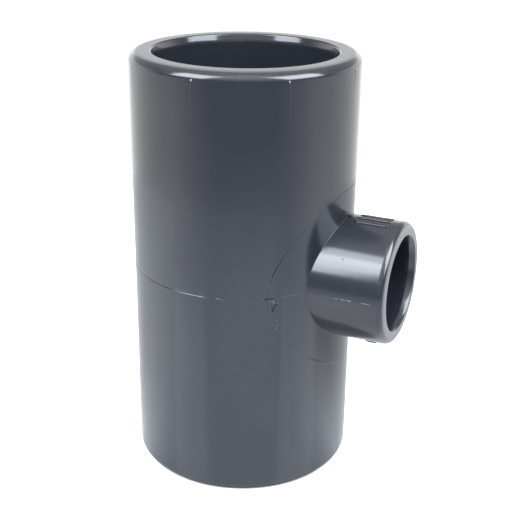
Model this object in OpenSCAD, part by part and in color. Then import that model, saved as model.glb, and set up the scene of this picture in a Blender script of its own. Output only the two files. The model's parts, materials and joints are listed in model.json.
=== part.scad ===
// Reducing tee for solvent-welded PVC-U pipe: a straight run with a deep pipe
// socket at each end, and a smaller socket that branches off at mid-length.
// The fitting is one moulding. It is drawn as the sections that its own parting
// lines mark out, and they meet face to face.
//
// Frame: the run's axis is Z and the lower rim lies on z = 0. The branch points
// along +X.

/* [Run] */
// Outside diameter of the run
run_od = 80; // [78:0.5:86]
// Length of the run, rim to rim
run_length = 152; // [145:1:170]
// Width of the rounding round each rim
rim_round = 2.6; // [1:0.1:3]

/* [Run sockets] */
// Bore of each run socket, for pipe of 63 mm
run_socket_d = 63.2; // [63.1:0.1:63.6]
// Depth of each run socket, rim to pipe stop
run_socket_depth = 38; // [37.5:0.5:42]
// Radial widening of the lead-in at each run mouth
run_lead_in = 1.4; // [0.5:0.05:1.6]
// Length of the lead-in at each run mouth
run_lead_in_depth = 2.6; // [2:0.1:5]
// Diameter of the waterway between the two pipe stops
run_waterway_d = 57; // [54:0.5:58]

/* [Branch] */
// Outside diameter of the branch
branch_od = 43.6; // [42:0.2:46]
// Distance from the run's axis to the branch's end face
branch_reach = 60.4; // [59:0.2:66]
// Bevel round the branch's end face
branch_bevel = 1.4; // [0.8:0.1:2]

/* [Branch socket] */
// Bore of the branch socket, for pipe of 32 mm
branch_socket_d = 32.2; // [32.1:0.1:32.5]
// Depth of the branch socket, end face to pipe stop
branch_socket_depth = 22; // [21:0.5:24]
// Radial widening of the lead-in at the branch's mouth
branch_lead_in = 0.75; // [0.4:0.05:1]
// Length of the lead-in at the branch's mouth
branch_lead_in_depth = 2.6; // [1.5:0.1:4]
// Diameter of the waterway behind the branch's pipe stop
branch_waterway_d = 27; // [25:0.5:29]

/* [Saddle] */
// Diameter of the round parting line about the branch
saddle_d = 64.4; // [60:0.2:68]
// Distance from the run's axis to the saddle's back
saddle_back = 15; // [13:0.5:16]

/* [Moulded marks] */
// Height of the marks above the branch
mark_height = 0.5; // [0.3:0.1:0.8]
// Width of one mark, across the branch
mark_width = 1.6; // [1:0.1:2]
// Distance between two marks, across the branch
mark_pitch = 3.6; // [3:0.1:4]
// Distance of the marks underneath from the branch's middle plane
mark_offset_below = 8.8; // [2:0.2:9]
// Length of a mark on top of the branch
mark_length = 12; // [8:0.5:13]
// Distance from the branch's end face to the marks
mark_inset = 5; // [3:0.5:6]

/* [Hidden] */

run_r = run_od / 2;
half_length = run_length / 2;
run_socket_r = run_socket_d / 2;
run_waterway_r = run_waterway_d / 2;
run_stop_z = half_length - run_socket_depth;

branch_r = branch_od / 2;
branch_socket_r = branch_socket_d / 2;
branch_waterway_r = branch_waterway_d / 2;
branch_stop_x = branch_reach - branch_socket_depth;

saddle_r = saddle_d / 2;
saddle_front = run_r + 1;

long_mark_end_x = branch_reach - mark_inset;
short_mark_length = mark_length / 3;
short_mark_end_x = long_mark_end_x - mark_length - 1.5;

PVC_GREY = [0.36, 0.37, 0.40];
FINE = 180;

// Moves a shape drawn about the tee's centre up to its place in the frame.
module at_centre() {
    translate([0, 0, half_length]) children();
}

// Turns a shape drawn along +Z so that it lies along +X.
module along_branch() {
    rotate([0, 90, 0]) children();
}

// Wall of one half of the run, as radius against height above the tee's centre.
module run_section() {
    difference() {
        polygon([
            [run_waterway_r, 0],
            [run_r, 0],
            [run_r, half_length],
            [run_socket_r + run_lead_in, half_length],
            [run_socket_r, half_length - run_lead_in_depth],
            [run_socket_r, run_stop_z],
            [run_waterway_r, run_stop_z]
        ]);
        translate([run_r - rim_round, half_length - rim_round]) difference() {
            square(rim_round + 1);
            circle(r = rim_round, $fn = 96);
        }
    }
}

// Everything inside the round parting line, from the saddle's back outwards.
module saddle_plug() {
    along_branch() translate([0, 0, saddle_back])
        cylinder(h = saddle_front - saddle_back, r = saddle_r, $fn = FINE);
}

// One half of the run, with the room that the saddle takes out of it.
module run_half() {
    difference() {
        rotate_extrude($fn = FINE) run_section();
        saddle_plug();
    }
}

module upper_run_socket() {
    color(PVC_GREY) at_centre() run_half();
}

module lower_run_socket() {
    color(PVC_GREY) at_centre() mirror([0, 0, 1]) run_half();
}

// The piece of the run's wall round the branch, inside the round parting line.
module branch_saddle() {
    color(PVC_GREY) at_centre() difference() {
        intersection() {
            saddle_plug();
            cylinder(h = run_length, r = run_r, center = true, $fn = FINE);
        }
        cylinder(h = run_length, r = run_waterway_r, center = true, $fn = FINE);
        along_branch() cylinder(h = saddle_front, r = branch_r, $fn = FINE);
    }
}

// Wall of the branch, as radius against distance from the run's axis.
module branch_section() {
    polygon([
        [branch_waterway_r, saddle_back],
        [branch_r, saddle_back],
        [branch_r, branch_reach - branch_bevel],
        [branch_r - branch_bevel, branch_reach],
        [branch_socket_r + branch_lead_in, branch_reach],
        [branch_socket_r, branch_reach - branch_lead_in_depth],
        [branch_socket_r, branch_stop_x],
        [branch_waterway_r, branch_stop_x]
    ]);
}

module branch_socket() {
    color(PVC_GREY) at_centre() difference() {
        along_branch() rotate_extrude($fn = FINE) branch_section();
        cylinder(h = run_length, r = run_waterway_r, center = true, $fn = FINE);
    }
}

// A raised bar along the branch. Its foot follows the branch's round wall.
module mark(end_x, length, across, side) {
    intersection() {
        along_branch() difference() {
            cylinder(h = branch_reach, r = branch_r + mark_height, $fn = FINE);
            cylinder(h = branch_reach, r = branch_r, $fn = FINE);
        }
        translate([end_x - length, across - mark_width / 2, side > 0 ? 0 : -run_r])
            cube([length, mark_width, run_r]);
    }
}

// Plain raised bars in place of lettering: on top of the branch and under it.
module branch_marks() {
    color(PVC_GREY) at_centre() {
        for (row = [-1, 0, 1])
            mark(long_mark_end_x, mark_length, row * mark_pitch, 1);
        mark(short_mark_end_x, short_mark_length, 0, 1);
        for (row = [-1, 1])
            mark(long_mark_end_x, short_mark_length, row * mark_offset_below, -1);
    }
}

upper_run_socket();
lower_run_socket();
branch_saddle();
branch_socket();
branch_marks();
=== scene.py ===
import json
import math
import random

import bpy
import numpy as np
from mathutils import Matrix, Vector


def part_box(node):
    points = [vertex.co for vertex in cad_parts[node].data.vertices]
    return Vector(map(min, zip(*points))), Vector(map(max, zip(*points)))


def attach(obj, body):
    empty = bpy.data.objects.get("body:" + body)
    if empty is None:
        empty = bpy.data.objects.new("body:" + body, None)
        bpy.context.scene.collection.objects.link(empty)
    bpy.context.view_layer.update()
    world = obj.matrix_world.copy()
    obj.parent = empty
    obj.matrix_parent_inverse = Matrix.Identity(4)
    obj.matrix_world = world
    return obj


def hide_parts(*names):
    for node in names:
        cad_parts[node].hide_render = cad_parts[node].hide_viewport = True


# A reducing tee for solvent-welded PVC-U pipe. The CAD model fixes every size and place. This script
# gives each of its sections a finished mesh with rounded edges, parting lines, flash and a moulded plastic.
# Then it lights them.
#
# Frame: the run stands on z = 0 with its axis along Z. The branch points along +X. The camera is on the -Y
# side.

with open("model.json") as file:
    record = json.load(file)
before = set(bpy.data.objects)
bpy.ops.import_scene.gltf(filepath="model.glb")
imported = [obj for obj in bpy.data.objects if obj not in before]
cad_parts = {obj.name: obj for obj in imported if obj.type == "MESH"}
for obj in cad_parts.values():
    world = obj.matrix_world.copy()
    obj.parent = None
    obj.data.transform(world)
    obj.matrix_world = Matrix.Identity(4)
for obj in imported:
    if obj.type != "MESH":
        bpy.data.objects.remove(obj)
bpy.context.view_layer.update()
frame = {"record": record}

# ---------------------------------------------------------------- sizes, in metres
MM = 0.001
MOUNTS = {mount["name"]: mount["dims"] for mount in frame["record"]["mounts"]}

upper_low, upper_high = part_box("upper_run_socket")
saddle_low, saddle_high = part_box("branch_saddle")
branch_low, branch_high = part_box("branch_socket")

RUN_R = upper_high.y
MID_Z = upper_low.z
HALF = upper_high.z - MID_Z
RIM_ROUND = (3.0 * MM, 3.8 * MM)
SOCKET_R = MOUNTS["upper_socket"]["r_mm"] * MM
LEAD_IN_DEPTH = 2.6 * MM
LEAD_IN_LEAN = math.radians(16)
MOUTH_R = SOCKET_R + LEAD_IN_DEPTH * math.tan(LEAD_IN_LEAN)
STOP_HEIGHT = HALF - LEAD_IN_DEPTH - MOUNTS["upper_socket"]["length_mm"] * MM
WATERWAY_R = 28.5 * MM

SADDLE_R = (saddle_high.z - saddle_low.z) / 2
APRON_HEIGHT = SADDLE_R + 4 * MM

BRANCH_R = (branch_high.z - branch_low.z) / 2
BRANCH_END = branch_high.x
BRANCH_BEVEL = 1.4 * MM
BRANCH_SOCKET_R = MOUNTS["branch_socket"]["r_mm"] * MM
BRANCH_LEAD_IN = 0.75 * MM
BRANCH_LEAD_IN_DEPTH = 2.6 * MM
BRANCH_STOP = BRANCH_END - BRANCH_LEAD_IN_DEPTH - MOUNTS["branch_socket"]["length_mm"] * MM
BRANCH_WATERWAY_R = 13.5 * MM
ROOT_BLEND = 0.1 * MM

SEAM_HALF_WIDTH = 0.14 * MM
SEAM_DEPTH = 0.16 * MM
SADDLE_LIP = 0.05 * MM

SADDLE_COLUMNS = 240
NOTCH_COLUMNS = 121
WALL_COLUMNS = 200


# ---------------------------------------------------------------- small helpers
def unit(vectors):
    vectors = np.asarray(vectors, float)
    return vectors / np.linalg.norm(vectors, axis=-1, keepdims=True)


def wander(places, seed, wavelengths):
    """A smooth, irregular curve between -1 and 1. The same seed always gives the same curve."""
    dice = random.Random(seed)
    total = np.zeros_like(places, dtype=float)
    for wavelength in wavelengths:
        total += np.sin(2 * math.pi * (places / wavelength + dice.random()))
    return total / len(wavelengths)


def in_scene(name, data):
    """A new object in the scene that shows the mesh, light or camera."""
    made = bpy.data.objects.new(name, data)
    bpy.context.scene.collection.objects.link(made)
    return made


# ---------------------------------------------------------------- mesh building
NO_AREA = 1e-14
SAME_WAY = 0.9995  # cosine above which two normals count as one


class Skin:
    """Collects quads whose corners carry their own normals, so that fillets and walls shade exactly."""

    def __init__(self):
        self.points = []
        self.wear = []
        self.faces = []
        self.normals = []

    def add_row(self, points, wear=0.0):
        start = len(self.points)
        self.points.extend(np.asarray(points, float).tolist())
        self.wear.extend([wear] * len(points))
        return list(range(start, start + len(points)))

    def add_quad(self, corners, normals=None):
        """Adds a face. With normals it faces their way, and without them it is flat."""
        places = np.array([self.points[i] for i in corners])
        facing = np.cross(places[2] - places[0], places[3] - places[1])
        size = np.linalg.norm(facing)
        if size < NO_AREA:
            return
        facing /= size
        if normals is None:
            normals = [facing] * 4
        elif np.dot(facing, np.sum(normals, axis=0)) < 0:
            corners, normals = corners[::-1], normals[::-1]
        self.faces.append(list(corners))
        self.normals.append(normals)

    def add_strip(self, row_a, row_b, normals_a=None, normals_b=None):
        """Quads between two closed rows of points."""
        count = len(row_a)
        for i in range(count):
            j = (i + 1) % count
            corners = [row_a[i], row_a[j], row_b[j], row_b[i]]
            if normals_a is None:
                self.add_quad(corners)
            else:
                self.add_quad(corners, [normals_a[i], normals_a[j], normals_b[j], normals_b[i]])

    def creases(self):
        """The edges where the normals of two faces differ. Marked sharp, each side keeps its own shading."""
        met = {}
        creases = set()
        for face, normals in zip(self.faces, self.normals):
            for i, corner in enumerate(face):
                j = (i + 1) % len(face)
                edge = (min(corner, face[j]), max(corner, face[j]))
                pair = (normals[i], normals[j]) if corner < face[j] else (normals[j], normals[i])
                other = met.setdefault(edge, pair)
                if min(np.dot(a, b) for a, b in zip(pair, other)) < SAME_WAY:
                    creases.add(edge)
        return creases

    def finish(self, name, material):
        mesh = bpy.data.meshes.new(name)
        mesh.from_pydata(self.points, [], self.faces)
        mesh.polygons.foreach_set("use_smooth", [True] * len(mesh.polygons))
        creases = self.creases()
        sharp = [tuple(sorted(edge.vertices)) in creases for edge in mesh.edges]
        mesh.edges.foreach_set("use_edge_sharp", sharp)
        wear = mesh.attributes.new("edge_wear", "FLOAT", "POINT")
        wear.data.foreach_set("value", self.wear)
        mesh.normals_split_custom_set([list(normal) for face in self.normals for normal in face])
        mesh.update()
        mesh.materials.append(material)
        return in_scene(name, mesh)


def rounded_profile(corners, roundings, steps=8):
    """Follows a section (radius, height) with the solid on its left and rounds its inner corners.

    Returns stations (place, normal before, normal after, wear). A rounding is the length taken off each side
    of the corner, or a pair of lengths where the two differ.
    """
    corners = [np.array(corner, float) for corner in corners]
    ways = [unit(b - a) for a, b in zip(corners, corners[1:])]
    outward = [np.array([way[1], -way[0]]) for way in ways]
    stations = [(corners[0], outward[0], outward[0], 0.0)]
    for i, cut in enumerate(roundings):
        cut_before, cut_after = np.broadcast_to(cut, 2)
        way, next_way = ways[i] * cut_before, ways[i + 1] * cut_after
        turn = ways[i][0] * ways[i + 1][1] - ways[i][1] * ways[i + 1][0]
        angle = abs(math.atan2(turn, float(np.dot(ways[i], ways[i + 1]))))
        for part in np.linspace(0, angle, steps + 1):
            short = (1 - math.cos(angle - part)) / (1 - math.cos(angle))
            past = (1 - math.cos(part)) / (1 - math.cos(angle))
            along = unit(way * math.sin(angle - part) + next_way * math.sin(part))
            normal = np.array([along[1], -along[0]])
            wear = math.sin(math.pi * part / angle) if turn > 0 else 0.0
            stations.append((corners[i + 1] - way * short + next_way * past, normal, normal, wear))
    stations.append((corners[-1], outward[-1], outward[-1], 0.0))
    return stations


def sweep(skin, stations, last, row, normals):
    """Strips from the row last through a profile's stations. Returns the row that it ends on."""
    facing = stations[0][2]
    for (radius, height), facing_before, facing_after, wear in stations[1:]:
        here = row(radius, height, wear)
        skin.add_strip(last, here, normals(facing), normals(facing_before))
        last, facing = here, facing_after
    return last


# ---------------------------------------------------------------- materials
def node(tree, kind, inputs=None, **settings):
    """Adds a shader node. An input is either a plain value or the output socket that feeds it."""
    made = tree.nodes.new("ShaderNode" + kind)
    for name, value in settings.items():
        setattr(made, name, value)
    for name, value in (inputs or {}).items():
        if isinstance(value, bpy.types.NodeSocket):
            tree.links.new(value, made.inputs[name])
        else:
            made.inputs[name].default_value = value
    return made


def new_material(name):
    """A material, its node tree and its shader."""
    material = bpy.data.materials.new(name)
    material.use_nodes = True
    tree = material.node_tree
    return material, tree, tree.nodes["Principled BSDF"]


def value_map(tree, value, low, high, to_low=0.0, to_high=1.0):
    span = {"Value": value, "From Min": low, "From Max": high, "To Min": to_low, "To Max": to_high}
    return node(tree, "MapRange", span).outputs["Result"]


def product(tree, a, b):
    return node(tree, "Math", {0: a, 1: b}, operation="MULTIPLY").outputs[0]


def total(tree, a, b):
    return node(tree, "Math", {0: a, 1: b}, operation="ADD").outputs[0]


def blend_colour(tree, share, a, b):
    mixer = node(tree, "Mix", {"Factor": share}, data_type="RGBA")
    for socket, colour in ((6, a), (7, b)):
        if isinstance(colour, bpy.types.NodeSocket):
            tree.links.new(colour, mixer.inputs[socket])
        else:
            mixer.inputs[socket].default_value = (*colour, 1)
    return mixer.outputs[2]


def in_millimetres(tree, coords):
    scaling = {0: coords.outputs["Object"], "Scale": 1000}
    return node(tree, "VectorMath", scaling, operation="SCALE").outputs[0]


def noise(tree, places, scale, detail=2.0):
    return node(tree, "TexNoise", {"Vector": places, "Scale": scale, "Detail": detail}).outputs["Fac"]


PVC_COLOUR = (0.0130, 0.0146, 0.0188)
PVC_DARKER = (0.0112, 0.0126, 0.0164)
PVC_WORN = (0.034, 0.037, 0.043)
PVC_END_FACE = (0.064, 0.065, 0.067)
PVC_BRANCH_FACE = (0.098, 0.099, 0.1)
PVC_WHITENED = (0.42, 0.43, 0.45)
PVC_IOR = 1.53


def pvc_marks(tree, along, face_start):
    """The patterns on moulded PVC. Each runs from 0, where it is absent, to 1."""
    coords = node(tree, "TexCoord")
    places = in_millimetres(tree, coords)
    stretch = tuple(0.02 if part else 1.0 for part in along)
    drawn_out = node(tree, "VectorMath", {0: places, 1: stretch}, operation="MULTIPLY").outputs[0]
    marks = {
        "clouds": value_map(tree, noise(tree, places, 0.05, 3), 0.35, 0.65),
        "streaks": value_map(tree, noise(tree, drawn_out, 0.55, 4), 0.3, 0.7),
        "speckle": value_map(tree, noise(tree, places, 2.2, 2), 0.35, 0.7),
        "ripple": noise(tree, places, 0.22, 1),
    }

    # end faces: duller and scuffed
    facing = node(tree, "VectorMath", {0: coords.outputs["Normal"], 1: along}, operation="DOT_PRODUCT")
    squarely = node(tree, "Math", {0: facing.outputs["Value"]}, operation="ABSOLUTE").outputs[0]
    marks["face"] = value_map(tree, squarely, face_start, 0.97)
    marks["scuffs"] = product(tree, marks["face"], noise(tree, places, 1.1, 3))

    # worn corners: broken up by fine noise
    wear = node(tree, "Attribute", attribute_name="edge_wear").outputs["Fac"]
    patchy = value_map(tree, noise(tree, places, 0.9, 5), 0.5, 0.68)
    marks["worn"] = product(tree, wear, patchy)

    # hairline scratches: the thin borders of large cells, kept only here and there
    slant = {"Vector": places, "Rotation": (0.4, 0.3, 0.2), "Scale": (0.16, 0.16, 0.035)}
    slanted = node(tree, "Mapping", slant).outputs[0]
    cells = node(tree, "TexVoronoi", {"Vector": slanted, "Scale": 1.0}, feature="DISTANCE_TO_EDGE")
    hairline = value_map(tree, cells.outputs["Distance"], 0.0, 0.006, 1.0, 0.0)
    here_and_there = value_map(tree, noise(tree, places, 0.11, 1), 0.6, 0.68)
    marks["scratch"] = product(tree, hairline, here_and_there)
    return marks


def with_shares(tree, base, marks, shares):
    """base plus a share of each named mark."""
    for mark, share in shares.items():
        base = total(tree, base, product(tree, marks[mark], share))
    return base


PVC_ROUGHNESS = 0.125
ROUGHER_BY = {"streaks": 0.03, "clouds": 0.02, "face": 0.2, "worn": 0.03, "scratch": 0.15}
RAISED_BY = {"ripple": 0.5, "speckle": 0.012, "streaks": 0.05, "scuffs": 0.06, "scratch": -0.2}


def moulded_pvc(name, along, face_start, face_colour=PVC_END_FACE):
    """Grey moulded PVC. along is the way that it slid out of the mould. Its end faces look the same way.

    face_start is the cosine from which a surface that leans that way starts to look like an end face.
    """
    material, tree, shader = new_material(name)
    shader.inputs["IOR"].default_value = PVC_IOR
    marks = pvc_marks(tree, along, face_start)

    colour = blend_colour(tree, marks["clouds"], PVC_COLOUR, PVC_DARKER)
    colour = blend_colour(tree, product(tree, marks["streaks"], 0.25), colour, PVC_DARKER)
    rubbed = total(tree, marks["worn"], marks["scratch"])
    colour = blend_colour(tree, product(tree, rubbed, 0.35), colour, PVC_WORN)
    colour = blend_colour(tree, marks["face"], colour, face_colour)
    tree.links.new(colour, shader.inputs["Base Color"])

    rough = with_shares(tree, PVC_ROUGHNESS, marks, ROUGHER_BY)
    tree.links.new(rough, shader.inputs["Roughness"])

    height = with_shares(tree, 0.0, marks, RAISED_BY)
    bump = node(tree, "Bump", {"Height": height, "Strength": 1.0, "Distance": 0.02 * MM})
    tree.links.new(bump.outputs["Normal"], shader.inputs["Normal"])
    return material


def whitened_pvc():
    """PVC that was torn or bent where flash broke off: pale, dull and uneven."""
    material, tree, shader = new_material("whitened_pvc")
    shader.inputs["IOR"].default_value = PVC_IOR
    shader.inputs["Roughness"].default_value = 0.45
    places = in_millimetres(tree, node(tree, "TexCoord"))
    torn = value_map(tree, noise(tree, places, 3.0, 4), 0.35, 0.6)
    tree.links.new(blend_colour(tree, torn, PVC_WORN, PVC_WHITENED), shader.inputs["Base Color"])
    bump = node(tree, "Bump", {"Height": torn, "Strength": 0.6, "Distance": 0.03 * MM})
    tree.links.new(bump.outputs["Normal"], shader.inputs["Normal"])
    return material


RUN_PVC = moulded_pvc("run_pvc", (0, 0, 1), 0.92)
SADDLE_PVC = moulded_pvc("saddle_pvc", (0, 0, 1), 0.92)
BRANCH_PVC = moulded_pvc("branch_pvc", (1, 0, 0), 0.8, PVC_BRANCH_FACE)
WHITENED_PVC = whitened_pvc()


def place(piece, slot, *nodes):
    """Puts a piece on the part's one body, in place of any CAD nodes that it stands for. slot is not used.
    """
    if nodes:
        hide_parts(*nodes)
    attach(piece, "root")


# ---------------------------------------------------------------- the run
# Strength of the round parting line by turn, in degrees: 0 on the far side, 90 on top, 180 on the near side.
SADDLE_SEAM = {
    0: 0.4,
    50: 0.9,
    75: 1.0,
    108: 1.0,
    128: 0.85,
    158: 0.8,
    170: 0.3,
    182: 0.05,
    229: 0.05,
    236: 0.9,
    246: 0.8,
    258: 0.15,
    360: 0.4,
}


def saddle_seam_depth(turns):
    """Depth of the round parting line. It is plainest over the branch and nearly gone below it."""
    turns = np.mod(turns, 2 * math.pi)
    strength = np.interp(np.degrees(turns), list(SADDLE_SEAM), list(SADDLE_SEAM.values()))
    return SEAM_DEPTH * strength * (0.85 + 0.15 * wander(turns, 4, (0.7, 0.31, 0.17)))


def ring_seam_depth(angles):
    return SEAM_DEPTH * (0.65 + 0.35 * wander(angles, 9, (1.3, 0.55, 0.21)))


def run_columns():
    """Angle of each column of the run, close together round the saddle's opening, and its saddle turn."""
    reach = SADDLE_R + SEAM_HALF_WIDTH
    first = math.asin(SEAM_HALF_WIDTH / reach)
    turns = np.linspace(math.pi - first, first, NOTCH_COLUMNS)
    inside = np.arcsin(reach * np.cos(turns) / RUN_R)
    outside = np.linspace(inside[-1], 2 * math.pi + inside[0], WALL_COLUMNS + 1)[1:-1]
    return np.concatenate([inside, outside]), turns


def opening_height(angles, radius, reach, least):
    """Height above the tee's centre of the saddle's opening, or of the parting ring outside it."""
    across = radius * np.sin(angles)
    height = np.sqrt(np.maximum(reach ** 2 - across ** 2, 0))
    return np.where(np.cos(angles) > 0, np.maximum(height, least), least)


WALL_STEPS = (0.04, 0.12, 0.25, 0.4, 0.55, 0.7, 0.85, 1.0)
SADDLE_STEPS = (0.1, 0.25, 0.4, 0.55, 0.7, 0.85, 0.96, 1.0)
SEAM_WEAR = 0.6


def run_profile():
    """Section of half the run, from its outside over the rim and past the pipe stop to the waterway."""
    section = [
        (RUN_R, APRON_HEIGHT),
        (RUN_R, HALF),
        (MOUTH_R, HALF),
        (SOCKET_R, HALF - LEAD_IN_DEPTH),
        (SOCKET_R, STOP_HEIGHT),
        (WATERWAY_R, STOP_HEIGHT),
        (WATERWAY_R, APRON_HEIGHT),
    ]
    roundings = [RIM_ROUND, 0.6 * MM, 0.8 * MM, 0.6 * MM, 0.4 * MM]
    return rounded_profile(section, roundings, steps=10)


def run_half(name, cad_node, side):
    """One half of the run. side is 1 above the parting ring and -1 below it."""
    skin = Skin()
    angles, turns = run_columns()
    around = np.stack([np.cos(angles), np.sin(angles), np.zeros_like(angles)], axis=1)
    up = np.array([0, 0, side], float)

    def row(radius, heights, wear=0.0):
        heights = np.broadcast_to(heights, angles.shape)
        radius = np.broadcast_to(radius, angles.shape)
        points = around * radius[:, None] + heights[:, None] * up
        points[:, 2] += MID_Z
        return skin.add_row(points, wear)

    def normals(pair):
        return around * pair[0] + pair[1] * up

    depth = ring_seam_depth(angles)
    depth[:NOTCH_COLUMNS] = saddle_seam_depth(side * turns)
    edge_height = opening_height(angles, RUN_R, SADDLE_R + SEAM_HALF_WIDTH, SEAM_HALF_WIDTH)
    seam_height = opening_height(angles, RUN_R - depth, SADDLE_R, 0)

    seam = row(RUN_R - depth, seam_height)
    last = row(RUN_R, edge_height, SEAM_WEAR)
    to_saddle = np.stack([np.zeros_like(angles), -RUN_R * np.sin(angles), -edge_height * side], axis=1)
    to_saddle[NOTCH_COLUMNS:, 1] = 0
    lean = (depth / SEAM_HALF_WIDTH)[:, None]
    seam_normals = unit(around + lean * unit(to_saddle))
    skin.add_strip(seam, last, seam_normals, seam_normals)
    for share in WALL_STEPS:
        here = row(RUN_R, edge_height + (APRON_HEIGHT - edge_height) * share)
        skin.add_strip(last, here, around, around)
        last = here
    last = sweep(skin, run_profile(), last, row, normals)
    inner = row(WATERWAY_R, seam_height)
    skin.add_strip(last, inner, -around, -around)
    skin.add_strip(inner, seam)
    place(skin.finish(name, RUN_PVC), "run_pvc", cad_node)


# ---------------------------------------------------------------- the branch and its saddle
TURNS = np.linspace(0, 2 * math.pi, SADDLE_COLUMNS, endpoint=False)
AROUND_BRANCH = np.stack([np.zeros_like(TURNS), np.cos(TURNS), np.sin(TURNS)], axis=1)
ALONG_BRANCH = np.array([1.0, 0, 0])


def on_run(reach, radius):
    """Points at a distance from the branch's axis that lie on a cylinder about the run's axis."""
    across = reach * AROUND_BRANCH[:, 1]
    height = MID_Z + reach * AROUND_BRANCH[:, 2]
    return np.stack([np.sqrt(radius ** 2 - across ** 2), across, height], axis=1)


def away_from_run(points):
    return unit(points * np.array([1.0, 1.0, 0.0]))


def moved_to_radius(points, radius):
    """The same points moved straight in or out from the run's axis."""
    moved = away_from_run(points) * np.broadcast_to(radius, len(points))[:, None]
    moved[:, 2] = points[:, 2]
    return moved


def branch_saddle():
    """The run's wall inside the round parting line, with the hole for the branch."""
    skin = Skin()
    start = BRANCH_R + ROOT_BLEND
    hole = on_run(start, RUN_R)
    first = skin.add_row(hole)
    last, last_normals = first, away_from_run(hole)
    for share in SADDLE_STEPS:
        points = on_run(start + (SADDLE_R - SADDLE_LIP - start) * share, RUN_R)
        here = skin.add_row(points, SEAM_WEAR if share == 1.0 else 0.0)
        here_normals = away_from_run(points)
        skin.add_strip(last, here, last_normals, here_normals)
        last, last_normals = here, here_normals
    depth = saddle_seam_depth(TURNS)
    bottom = moved_to_radius(on_run(SADDLE_R, RUN_R), RUN_R - depth)
    seam = skin.add_row(bottom)
    tilted = unit(away_from_run(bottom) + (depth / SADDLE_LIP)[:, None] * AROUND_BRANCH)
    skin.add_strip(last, seam, tilted, tilted)
    inner_edge = moved_to_radius(bottom, WATERWAY_R)
    inner_hole = on_run(BRANCH_R, WATERWAY_R)
    last = skin.add_row(inner_edge)
    last_normals = -away_from_run(inner_edge)
    skin.add_strip(seam, last)
    for share in np.linspace(0, 1, 7)[1:]:
        points = moved_to_radius(inner_edge + (inner_hole - inner_edge) * share, WATERWAY_R)
        here = skin.add_row(points)
        here_normals = -away_from_run(points)
        skin.add_strip(last, here, last_normals, here_normals)
        last, last_normals = here, here_normals
    skin.add_strip(last, first)
    place(skin.finish("saddle", SADDLE_PVC), "saddle_pvc", "branch_saddle")


def root_blend(skin):
    """The small hollow blend from the run's wall to the branch's wall. Returns its first and last rows."""
    foot = on_run(BRANCH_R + ROOT_BLEND, RUN_R)
    corner = on_run(BRANCH_R, RUN_R)
    head = corner + ALONG_BRANCH * ROOT_BLEND
    first = last = skin.add_row(foot)
    last_normals = away_from_run(foot)
    for share in np.linspace(0, 1, 6)[1:]:
        points = foot * (1 - share) ** 2 + corner * 2 * share * (1 - share) + head * share ** 2
        slope = (corner - foot) * (1 - share) + (head - corner) * share
        sideways = np.roll(points, -1, axis=0) - np.roll(points, 1, axis=0)
        here_normals = unit(np.cross(sideways, slope))
        here_normals *= np.sign(np.sum(here_normals * (AROUND_BRANCH + ALONG_BRANCH), axis=1, keepdims=True))
        here = skin.add_row(points)
        skin.add_strip(last, here, last_normals, here_normals)
        last, last_normals = here, here_normals
    return first, last, last_normals


BRANCH_WALL_START = RUN_R + 2 * ROOT_BLEND


def branch_profile():
    """Section of the branch, from its outside over the end face and past the pipe stop to the waterway."""
    section = [
        (BRANCH_R, BRANCH_WALL_START),
        (BRANCH_R, BRANCH_END - BRANCH_BEVEL),
        (BRANCH_R - BRANCH_BEVEL, BRANCH_END),
        (BRANCH_SOCKET_R + BRANCH_LEAD_IN, BRANCH_END),
        (BRANCH_SOCKET_R, BRANCH_END - BRANCH_LEAD_IN_DEPTH),
        (BRANCH_SOCKET_R, BRANCH_STOP),
        (BRANCH_WATERWAY_R, BRANCH_STOP),
        (BRANCH_WATERWAY_R, WATERWAY_R + 2 * MM),
    ]
    roundings = [0.95 * MM, 0.95 * MM, (0.5 * MM, 1.9 * MM), (0.7 * MM, 2.5 * MM), 0.4 * MM, 0.3 * MM]
    return rounded_profile(section, roundings)


def branch_tube():
    """The whole branch, from the run's waterway to its end face."""
    skin = Skin()

    def row(radius, along, wear=0.0):
        points = AROUND_BRANCH * radius
        points[:, 0] += along
        points[:, 2] += MID_Z
        return skin.add_row(points, wear)

    def normals(pair):
        return AROUND_BRANCH * pair[0] + ALONG_BRANCH * pair[1]

    first, last, last_normals = root_blend(skin)
    wall = row(BRANCH_R, BRANCH_WALL_START)
    skin.add_strip(last, wall, last_normals, AROUND_BRANCH)
    last = sweep(skin, branch_profile(), wall, row, normals)
    mouth_points = on_run(BRANCH_WATERWAY_R, WATERWAY_R)
    mouth = skin.add_row(mouth_points)
    skin.add_strip(last, mouth, -AROUND_BRANCH, -AROUND_BRANCH)
    edge_points = on_run(BRANCH_R, WATERWAY_R)
    edge = skin.add_row(edge_points)
    skin.add_strip(mouth, edge, -away_from_run(mouth_points), -away_from_run(edge_points))
    skin.add_strip(edge, first)
    place(skin.finish("branch", BRANCH_PVC), "branch_pvc", "branch_socket")


# ---------------------------------------------------------------- raised marks, flash and witness lines
RIDGE = [(-1.0, 0.0), (-0.6, 0.55), (0.0, 1.0), (0.6, 0.55), (1.0, 0.0)]
TORN_EDGE = [(-1.0, 0.0), (-0.8, 1.0), (-0.6, 1.0), (0.2, 0.52), (1.0, 0.05), (1.1, 0.0)]
HALF_BAR = [(0.6, 1.0), (0.8, 0.92), (0.94, 0.55), (1.0, 0.0)]
BAR = [(-across, lift) for across, lift in reversed(HALF_BAR)] + HALF_BAR
SINK = 0.06 * MM
RIDGE_WEAR = 0.2
TINY = 1e-16


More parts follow.
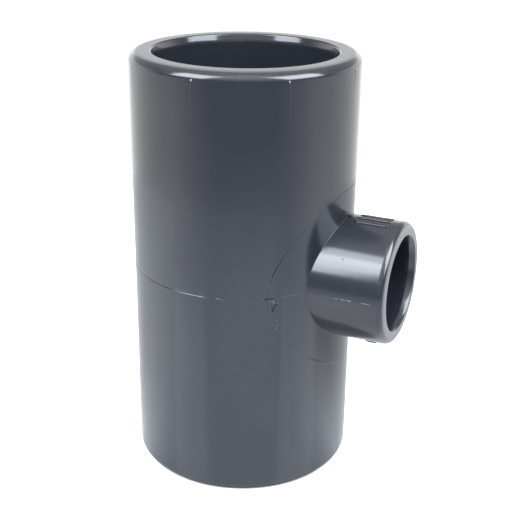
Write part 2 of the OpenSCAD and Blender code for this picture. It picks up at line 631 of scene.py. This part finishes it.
def raised_strip(skin, path, across, out, half_width, heights, shape):
    """A closed ridge along a path on a surface. Its foot is sunk a little below the surface.

    across, out, half_width and heights are either one for each place on the path or one for all.
    """
    across = np.broadcast_to(across, path.shape)
    out = np.broadcast_to(out, path.shape)
    half_width = np.broadcast_to(half_width, len(path))[:, None]
    heights = np.broadcast_to(heights, len(path))[:, None]
    lines = [path + across * half_width * place_across + out * (heights * lift - SINK * (lift == 0))
             for place_across, lift in shape]
    lines.append(path - out * 2 * SINK)
    grid = np.stack(lines, axis=1)
    along_way = np.gradient(grid, axis=0)
    round_way = np.roll(grid, -1, axis=1) - np.roll(grid, 1, axis=1)
    normals = np.cross(along_way, round_way)
    lengths = np.linalg.norm(normals, axis=2, keepdims=True)
    normals = np.where(lengths > TINY, normals / np.maximum(lengths, TINY), out[:, None, :])
    middle = grid.mean(axis=1, keepdims=True)
    inside_out = np.sum(normals * (grid - middle), axis=2).sum() < 0
    if inside_out:
        normals = -normals
    rows = [skin.add_row(line, RIDGE_WEAR) for line in grid]
    for i in range(len(rows) - 1):
        skin.add_strip(rows[i], rows[i + 1], normals[i], normals[i + 1])
    for end, facing in ((0, -1), (-1, 1)):
        cap(skin, rows[end], grid[end], facing * (path[-1] - path[0]))


def cap(skin, row, points, facing):
    """Closes the end of a strip with a fan of triangles about its middle."""
    centre = skin.add_row([points.mean(axis=0)], 1.0)[0]
    count = len(row)
    for i in range(count):
        corners = [row[i], row[(i + 1) % count], centre]
        places = np.array([skin.points[c] for c in corners])
        normal = np.cross(places[1] - places[0], places[2] - places[0])
        size = np.linalg.norm(normal)
        if size < TINY:
            continue
        normal /= size
        if np.dot(normal, facing) < 0:
            corners, normal = corners[::-1], -normal
        skin.faces.append(corners)
        skin.normals.append([normal] * 3)


def rounded_ends(places, half_length, round_length):
    """1 along the middle, falling to 0 in a quarter circle at each end."""
    past = np.maximum(np.abs(places) - (half_length - round_length), 0) / round_length
    return np.sqrt(np.maximum(1 - past ** 2, 0))


def on_branch(along, turn):
    """Place, sideways direction and outward direction on the branch's wall."""
    out = np.array([0, math.cos(turn), math.sin(turn)])
    sideways = np.array([0, -math.sin(turn), math.cos(turn)])
    return np.array([along, 0, MID_Z]) + out * BRANCH_R, sideways, out


def bar_on_branch(skin, start, end, turn, half_width, height, shape=BAR, steps=24):
    """A bar along the branch's wall, between two distances from the run's axis."""
    half_length = (end - start) / 2
    spread = -np.cos(np.linspace(0, math.pi, steps)) * half_length
    base, sideways, out = on_branch((start + end) / 2, turn)
    path = base + spread[:, None] * ALONG_BRANCH
    lift = rounded_ends(spread, half_length, min(half_length, 0.8 * half_width + 0.1 * MM))
    widths = half_width * (0.5 + 0.5 * lift)
    raised_strip(skin, path, sideways, out, widths, height * lift, shape)


def branch_marks():
    """Plain raised bars, as the CAD model places them: three long and one short on top, two short below."""
    low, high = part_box("branch_marks")
    bar_width = 1.6 * MM
    pitch = 3.6 * MM
    long_length = 12 * MM
    short_length = 4 * MM
    offset_below = 8.8 * MM
    height = 0.4 * MM
    skin = Skin()
    top = math.pi / 2
    for row_number in (-1, 0, 1):
        turn = top + row_number * pitch / BRANCH_R
        bar_on_branch(skin, high.x - long_length, high.x, turn, bar_width / 2, height)
    bar_on_branch(skin, low.x, low.x + short_length, top, bar_width / 2, height)
    for flank in (-1, 1):
        turn = -top + flank * math.asin(offset_below / BRANCH_R)
        bar_on_branch(skin, high.x - short_length, high.x, turn, bar_width / 2, height)
    place(skin.finish("raised_marks", BRANCH_PVC), "branch_pvc", "branch_marks")


def parting_flash():
    """The fine, uneven ridge of flash along the parting ring. It stops at the foot of the branch."""
    stop = math.asin(BRANCH_R / RUN_R) + 0.02
    angles = np.linspace(stop, 2 * math.pi - stop, 900)
    out = np.stack([np.cos(angles), np.sin(angles), np.zeros_like(angles)], axis=1)
    wobble = 0.05 * MM * wander(angles, 21, (0.4, 0.17, 0.09))
    path = out * RUN_R
    path[:, 2] = MID_Z - SEAM_HALF_WIDTH - 0.12 * MM + wobble
    ragged = np.clip(0.4 + 0.8 * wander(angles, 22, (0.83, 0.37, 0.16)), 0.05, 1)
    on_saddle = np.cos(angles) > math.sqrt(1 - (SADDLE_R / RUN_R) ** 2)
    heights = 0.036 * MM * ragged * np.where(on_saddle, 0.3, 1.0)
    skin = Skin()
    raised_strip(skin, path, [0, 0, 1.0], out, 0.17 * MM, heights, RIDGE)
    place(skin.finish("parting_flash", RUN_PVC), "run_pvc")


def rim_spots():
    """Side and directions of the moulding spots below each rim: one at every eighth of a turn."""
    eighths = 8
    for side in (-1, 1):
        for number in range(eighths):
            angle = 2 * math.pi * number / eighths
            out = np.array([math.cos(angle), math.sin(angle), 0])
            sideways = np.array([-math.sin(angle), math.cos(angle), 0])
            yield side, out, sideways


NIB_DROP = 3.15 * MM


def witness_lines():
    """Faint ridges that run from each nib towards the middle of the run and fade out."""
    skin = Skin()
    length = 13 * MM
    for side, out, sideways in rim_spots():
        drops = NIB_DROP + np.linspace(0, length, 40)
        path = out * RUN_R + np.outer(MID_Z + side * (HALF - drops), [0, 0, 1.0])
        share = (drops - NIB_DROP) / length
        heights = 0.085 * MM * (1 - share) ** 1.4
        raised_strip(skin, path, sideways, out, 0.55 * MM, heights, RIDGE)
    place(skin.finish("witness_lines", RUN_PVC), "run_pvc")


def rim_nibs():
    """Small nibs below the upper rim, whitened where they broke away from the mould."""
    skin = Skin()
    radius = 0.36 * MM
    for side, out, sideways in rim_spots():
        if side < 0:
            continue
        spread = np.linspace(-1, 1, 13) * radius
        nib = out * RUN_R + np.outer(MID_Z + HALF - NIB_DROP + spread, [0, 0, 1.0])
        lift = rounded_ends(spread, radius, radius)
        width = 0.8 * radius * np.maximum(lift, 0.05)
        raised_strip(skin, nib, sideways, out, width, 0.2 * MM * lift, RIDGE)
    place(skin.finish("rim_nibs", WHITENED_PVC), "run_pvc")


def wall_ridge(skin, spots, half_width, height, mirror, shape=RIDGE):
    """A small ridge through spots on the run's wall. They are in mm, towards the branch and up from where
    the parting ring meets the saddle's round line.
    """
    spots = np.array(spots, float) * MM
    lengths = np.concatenate([[0], np.cumsum(np.linalg.norm(np.diff(spots, axis=0), axis=1))])
    reach = np.linspace(0, lengths[-1], 25)
    angles = mirror * (math.asin(SADDLE_R / RUN_R) - np.interp(reach, lengths, spots[:, 0]) / RUN_R)
    out = np.stack([np.cos(angles), np.sin(angles), np.zeros_like(angles)], axis=1)
    path = out * RUN_R
    path[:, 2] = MID_Z + np.interp(reach, lengths, spots[:, 1])
    across = unit(np.cross(out, np.gradient(path, axis=0)))
    middle = lengths[-1] / 2
    lift = rounded_ends(reach - middle, middle, min(middle, 0.5 * MM))
    raised_strip(skin, path, across, out, half_width * (0.3 + 0.7 * lift), height * lift, shape)


def below_round_line():
    """Spots that follow the saddle's round line just outside it, low on each side of the branch."""
    turns = np.radians(np.linspace(234, 262, 12))
    reach = SADDLE_R + 0.75 * MM
    to_branch = math.asin(SADDLE_R / RUN_R) - np.arcsin(-reach * np.cos(turns) / RUN_R)
    return np.stack([to_branch * RUN_R, reach * np.sin(turns)], axis=1) / MM


def junction_flash():
    """A torn flap of flash where the parting ring meets the saddle's round line, on both sides."""
    flap, torn = Skin(), Skin()
    for mirror in (-1, 1):
        upper_edge = [(-1.1, 0.05), (1.6, -0.1), (2.2, -0.5)]
        slanting_edge = [(1.2, -5.2), (2.4, -3.5), (3.5, -1.8)]
        swelling = [(0.7, -0.9), (0.7, -5.8)]
        wisp_above = [(0.6, 5.6), (0.65, 0.8)]
        wisp_to_branch = [(6.1, 0.3), (9.5, -0.2), (13.0, -0.9)]
        wall_ridge(flap, upper_edge, 0.5 * MM, 0.2 * MM, mirror, TORN_EDGE)
        wall_ridge(flap, slanting_edge, 0.5 * MM, 0.2 * MM, mirror, TORN_EDGE)
        wall_ridge(flap, swelling, 0.9 * MM, 0.16 * MM, mirror)
        wall_ridge(flap, wisp_above, 0.3 * MM, 0.03 * MM, mirror)
        wall_ridge(flap, wisp_to_branch, 0.25 * MM, 0.03 * MM, mirror)
        hook = [(-0.2, -0.48), (1.6, -0.6), (1.95, -1.0), (2.1, -2.0)]
        wall_ridge(torn, hook, 0.06 * MM, 0.12 * MM, mirror)
        wall_ridge(flap, below_round_line(), 0.28 * MM, 0.05 * MM, mirror)
        for across, up in ((3.3, -8.3), (3.7, -10.3), (3.2, -11.4)):
            wall_ridge(torn, [(across, up + 0.15), (across, up - 0.15)], 0.08 * MM, 0.05 * MM, mirror)
    place(flap.finish("junction_flash", SADDLE_PVC), "saddle_pvc")
    place(torn.finish("torn_flash", WHITENED_PVC), "saddle_pvc")


def branch_flash():
    """Broken lengths of whitened flash along the branch's parting line, on both sides."""
    skin = Skin()
    camera_side = math.pi
    dashes = [(43.4, 45.1, 0.035), (45.7, 49.5, 0.06), (52.9, 56.2, 0.04)]
    for turn in (camera_side, 0):
        for start, end, width in dashes:
            bar_on_branch(skin, start * MM, end * MM, turn, width * MM, 0.04 * MM, RIDGE)
    place(skin.finish("branch_flash", WHITENED_PVC), "branch_pvc")


def moulding_specks():
    """Two grains that were caught in the branch's skin."""
    skin = Skin()
    grains = [(15.8 * MM, 144, 0.25 * MM), (1.9 * MM, 201, 0.16 * MM)]
    for from_end, turn, radius in grains:
        along = BRANCH_END - from_end
        bar_on_branch(skin, along - radius, along + radius, math.radians(turn), radius, 0.14 * MM, RIDGE, 12)
    place(skin.finish("specks", BRANCH_PVC), "branch_pvc")


run_half("upper_run", "upper_run_socket", 1)
run_half("lower_run", "lower_run_socket", -1)
branch_saddle()
branch_tube()
branch_marks()
parting_flash()
witness_lines()
rim_nibs()
junction_flash()
branch_flash()
moulding_specks()


# ---------------------------------------------------------------- camera, floor and light
VIEW_AZIMUTH = math.radians(24.88)
CAMERA_DISTANCE = 0.34467
CAMERA_HEIGHT = 0.21447
CAMERA_YAW = math.radians(0.986)
CAMERA_PITCH = math.radians(22.144)
CAMERA_ROLL = math.radians(0.771)
LENS_MM = 69.37
SENSOR_MM = 36

TOWARDS_CAMERA = np.array([math.sin(VIEW_AZIMUTH), -math.cos(VIEW_AZIMUTH), 0])
RIGHT_OF_CAMERA = np.array([math.cos(VIEW_AZIMUTH), math.sin(VIEW_AZIMUTH), 0])


def add_camera():
    """The photo's viewpoint: turned and tipped by its angles, then rolled about its line of sight."""
    data = bpy.data.cameras.new("camera")
    data.lens = LENS_MM
    data.sensor_width = SENSOR_MM
    data.clip_start = 0.01
    camera = in_scene("camera", data)
    heading = math.radians(90) + VIEW_AZIMUTH - CAMERA_YAW
    level = math.cos(CAMERA_PITCH)
    forward = Vector((math.cos(heading) * level, math.sin(heading) * level, -math.sin(CAMERA_PITCH)))
    right = forward.cross(Vector((0, 0, 1))).normalized()
    up = right.cross(forward)
    right_rolled = right * math.cos(CAMERA_ROLL) + up * math.sin(CAMERA_ROLL)
    up_rolled = up * math.cos(CAMERA_ROLL) - right * math.sin(CAMERA_ROLL)
    turn = Matrix((right_rolled, up_rolled, -forward)).transposed()
    spot = Vector(TOWARDS_CAMERA * CAMERA_DISTANCE) + Vector((0, 0, CAMERA_HEIGHT))
    camera.matrix_world = Matrix.Translation(spot) @ turn.to_4x4()
    bpy.context.scene.camera = camera


# centre of the painted shadow of the branch on the paper
BRANCH_SHADOW = 0.149 * RIGHT_OF_CAMERA + 0.013 * TOWARDS_CAMERA


def distance_along(tree, spot, way):
    return node(tree, "VectorMath", {0: spot, 1: way.tolist()}, operation="DOT_PRODUCT").outputs["Value"]


def ratio(tree, a, b):
    return node(tree, "Math", {0: a, 1: b}, operation="DIVIDE").outputs[0]


def dimmed(tree, tone, share):
    """tone plus a share of itself. The share is below zero where it dims."""
    return product(tree, tone, total(tree, 1.0, share))


def painted_paper_light_and_shade(tree, spot, far):
    """Painted light and shade on each stretch of the paper, as the plastic reflects it: painted pools of
    light, a painted falloff of light, a painted shadow of the branch and painted shade under the rim.
    """
    forward = distance_along(tree, spot, TOWARDS_CAMERA)
    sideways = distance_along(tree, spot, RIGHT_OF_CAMERA)
    ahead = ratio(tree, forward, far)
    aside = ratio(tree, sideways, far)
    # painted falloff of light: the paper darkens away from the tee towards the camera, and a little to the
    # left
    tone = value_map(tree, forward, 0.18, 0.45, 0.48, 0.21)
    tone = product(tree, tone, value_map(tree, sideways, -0.1, -0.04, 0.86, 1.0))
    # painted light and shade: palest beside the run, duller in front of it and behind it
    tone = product(tree, tone, value_map(tree, ahead, 0.25, 0.75, 1.6, 1.0))
    tone = product(tree, tone, value_map(tree, ahead, -0.95, -0.1, 0.6, 1.0))
    # painted shade: duller out to the right, past the branch
    to_right = value_map(tree, aside, 0.4, 0.65, 0.0, -0.3)
    tone = dimmed(tree, tone, product(tree, to_right, value_map(tree, far, 0.06, 0.16)))
    beside = value_map(tree, aside, 0.6, 0.9, 0.0, -0.18)
    tone = dimmed(tree, tone, product(tree, beside, value_map(tree, ahead, 0.0, 0.35, 1.0, 0.0)))
    # a painted shadow of the branch, and painted shade under the rim that stands on the paper
    off_shadow = node(tree, "VectorMath", {0: spot, 1: BRANCH_SHADOW.tolist()}, operation="DISTANCE")
    tone = product(tree, tone, value_map(tree, off_shadow.outputs["Value"], 0.02, 0.08, 0.72, 1.0))
    return product(tree, tone, value_map(tree, far, 0.037, 0.041))


def painted_contact_shadow(tree, far):
    """White, but for a painted contact shadow: the thin dark ring where the rounded rim meets the paper."""
    outside = value_map(tree, far, 0.0378, 0.0394, 0.25, 1.0)
    inside = value_map(tree, far, 0.0326, 0.033, 0.75, 0.0)
    return total(tree, outside, inside)


def grey(tree, tone):
    return node(tree, "CombineColor", {0: tone, 1: tone, 2: tone}).outputs[0]


def unlike_seen(tree, reflected, seen):
    """One shader for what the plastic reflects and another for what the camera sees straight on."""
    camera_ray = node(tree, "LightPath").outputs["Is Camera Ray"]
    return node(tree, "MixShader", {0: camera_ray, 1: reflected, 2: seen}).outputs[0]


def floor_material():
    """White paper that the camera sees as pure white, but for a painted contact shadow, and that the plastic
    reflects as the lamps light it, with painted light and shade on top.
    """
    material, tree, reflected = new_material("floor_paper")
    reflected.inputs["Roughness"].default_value = 0.12
    reflected.inputs["IOR"].default_value = 1.27
    spot = node(tree, "NewGeometry").outputs["Position"]
    far = node(tree, "VectorMath", {0: spot}, operation="LENGTH").outputs["Value"]
    # the reflected paper's colour carries painted light and shade
    tree.links.new(grey(tree, painted_paper_light_and_shade(tree, spot, far)), reflected.inputs["Base Color"])
    # the colour that the camera sees holds a painted contact shadow round the rim
    white = grey(tree, painted_contact_shadow(tree, far))
    seen = node(tree, "BsdfDiffuse", {"Color": white})
    glow = node(tree, "Emission", {"Color": white, "Strength": 0.15})
    bright = node(tree, "AddShader", {0: seen.outputs[0], 1: glow.outputs[0]})
    mix = unlike_seen(tree, reflected.outputs[0], bright.outputs[0])
    tree.links.new(mix, tree.nodes["Material Output"].inputs["Surface"])
    return material


def add_floor():
    """A round white sheet under the tee. Past its edge the white of the world goes on."""
    radius, sides = 0.36, 96
    turns = np.linspace(0, 2 * math.pi, sides, endpoint=False)
    rim = np.stack([radius * np.cos(turns), radius * np.sin(turns), np.zeros(sides)], axis=1)
    mesh = bpy.data.meshes.new("floor")
    mesh.from_pydata(rim.tolist(), [], [list(range(sides))])
    mesh.materials.append(floor_material())
    floor = in_scene("floor", mesh)


SOFTBOX_COLOUR = (0.86, 0.92, 1.0)
SOFTBOX_STRIPS = (12.0, 13.8, 15.6, 9.0)  # brightness of each strip, from the lowest up
SOFTBOX_DISTANCE = 1.2
SOFTBOX_FOOT = 18  # degrees above the horizon
STRIP_HEIGHT = 11  # degrees


def panel_size(degrees):
    """Size of a panel at the softbox's distance that spans this angle as the tee sees it."""
    return 2 * SOFTBOX_DISTANCE * math.tan(math.radians(degrees / 2))


def add_softbox(name, azimuth, width):
    """A tall soft panel light in strips, brightest above its middle. Angles are in degrees."""
    heading = math.atan2(TOWARDS_CAMERA[1], TOWARDS_CAMERA[0]) + math.radians(azimuth)
    for number, radiance in enumerate(SOFTBOX_STRIPS):
        data = bpy.data.lights.new(f"{name}_{number}", "AREA")
        data.shape = "RECTANGLE"
        data.size = panel_size(width)
        data.size_y = panel_size(STRIP_HEIGHT)
        data.energy = radiance * math.pi * data.size * data.size_y
        data.color = SOFTBOX_COLOUR
        light = in_scene(f"{name}_{number}", data)
        rise = math.radians(SOFTBOX_FOOT + STRIP_HEIGHT * (number + 0.5))
        level = math.cos(rise)
        way = Vector((math.cos(heading) * level, math.sin(heading) * level, math.sin(rise)))
        light.location = way * SOFTBOX_DISTANCE + Vector((0, 0, MID_Z))
        light.rotation_euler = way.to_track_quat("Z", "Y").to_euler()
        light.visible_camera = False


def ramp(tree, value, stops, tint=(1.0, 1.0, 1.0)):
    """Looks a number up between stops of (height from -1 to 1, brightness)."""
    scaled = value_map(tree, value, -1, 1)
    made = node(tree, "ValToRGB", {"Fac": scaled})
    elements = made.color_ramp.elements
    while len(elements) < len(stops):
        elements.new(0.5)
    for element, (height, brightness) in zip(elements, stops):
        element.position = (height + 1) / 2
        element.color = (*(brightness * part for part in tint), 1)
    return made.outputs["Color"]


# How bright the room is behind the tee, beside it and behind the camera: (height from -1 to 1, brightness)
ROOM_BEHIND = [(-0.4, 0.72), (-0.1, 0.78), (0.17, 0.95), (0.3, 0.38), (0.6, 0.28), (0.95, 0.65)]
ROOM_BESIDE = [(-0.4, 0.8), (-0.22, 0.76), (-0.15, 0.55), (-0.06, 0.25), (0.1, 0.15), (0.9, 0.65)]
ROOM_IN_FRONT = [(-0.42, 0.6), (-0.3, 0.3), (-0.2, 0.19), (0.06, 0.28), (0.25, 0.48), (0.9, 1.5)]
FRONT_TINT = (0.93, 0.98, 1.1)


def add_world():
    """White to the camera. The plastic reflects a bright room, with a dark stretch behind the camera."""
    world = bpy.data.worlds.new("studio")
    world.use_nodes = True
    tree = world.node_tree
    tree.nodes.clear()
    way = node(tree, "TexCoord").outputs["Generated"]
    height = node(tree, "SeparateXYZ", {0: way}).outputs["Z"]
    flat = node(tree, "VectorMath", {0: way, 1: (1, 1, 0)}, operation="MULTIPLY").outputs[0]
    level = node(tree, "VectorMath", {0: flat}, operation="NORMALIZE").outputs[0]
    ahead = distance_along(tree, level, TOWARDS_CAMERA)
    room = ramp(tree, height, ROOM_BEHIND)
    room = blend_colour(tree, value_map(tree, ahead, -0.35, 0.05), room, ramp(tree, height, ROOM_BESIDE))
    in_front = ramp(tree, height, ROOM_IN_FRONT, FRONT_TINT)
    room = blend_colour(tree, value_map(tree, ahead, 0.3, 0.88), room, in_front)
    reflected = node(tree, "Background", {"Color": room, "Strength": 2.0})
    seen = node(tree, "Background", {"Color": (1, 1, 1, 1), "Strength": 1.05})
    node(tree, "OutputWorld", {"Surface": unlike_seen(tree, reflected.outputs[0], seen.outputs[0])})
    bpy.context.scene.world = world


add_camera()
add_floor()
add_softbox("softbox_left", -58, 33)
add_softbox("softbox_right", 60, 38)
add_world()
bpy.context.scene.view_settings.view_transform = "Standard"
